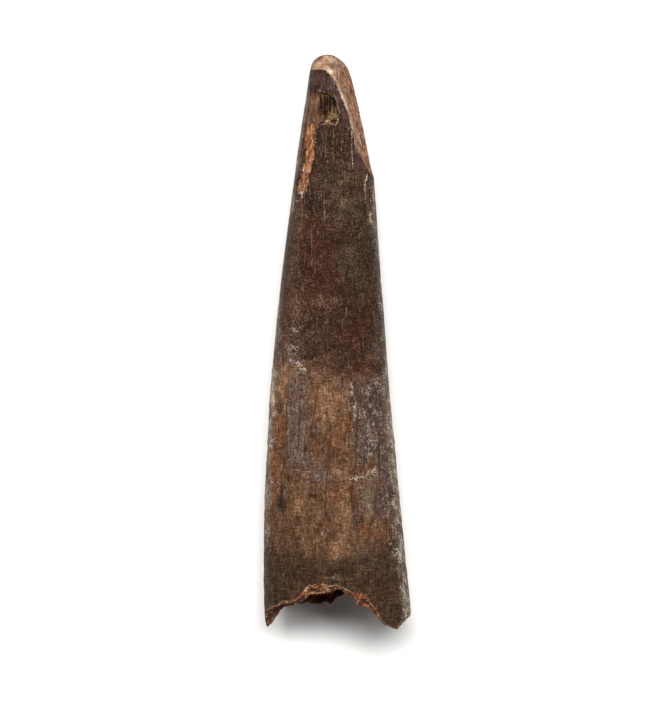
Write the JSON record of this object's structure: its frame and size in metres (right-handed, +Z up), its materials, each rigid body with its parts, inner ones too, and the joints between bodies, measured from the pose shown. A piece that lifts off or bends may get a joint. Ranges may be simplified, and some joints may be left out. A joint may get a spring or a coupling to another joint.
{
  "type": "fossil pterosaur tooth",
  "caption": "Long conical fossil tooth with a worn, chipped tip and a hollow root that ends in a jagged break, lying on its back.",
  "frame": {"origin": "the middle of the box's underside, on the surface that the tooth lies on", "axes": "+Y along the tooth towards its tip, +X across its width to its worn flank, +Z up out of its front"},
  "size_m": [0.0134, 0.052, 0.01],
  "materials": {
    "fossil_enamel": "satin"
  },
  "bodies": {
    "root": {"tooth": "fossil_enamel"}
  },
  "joints": []
}
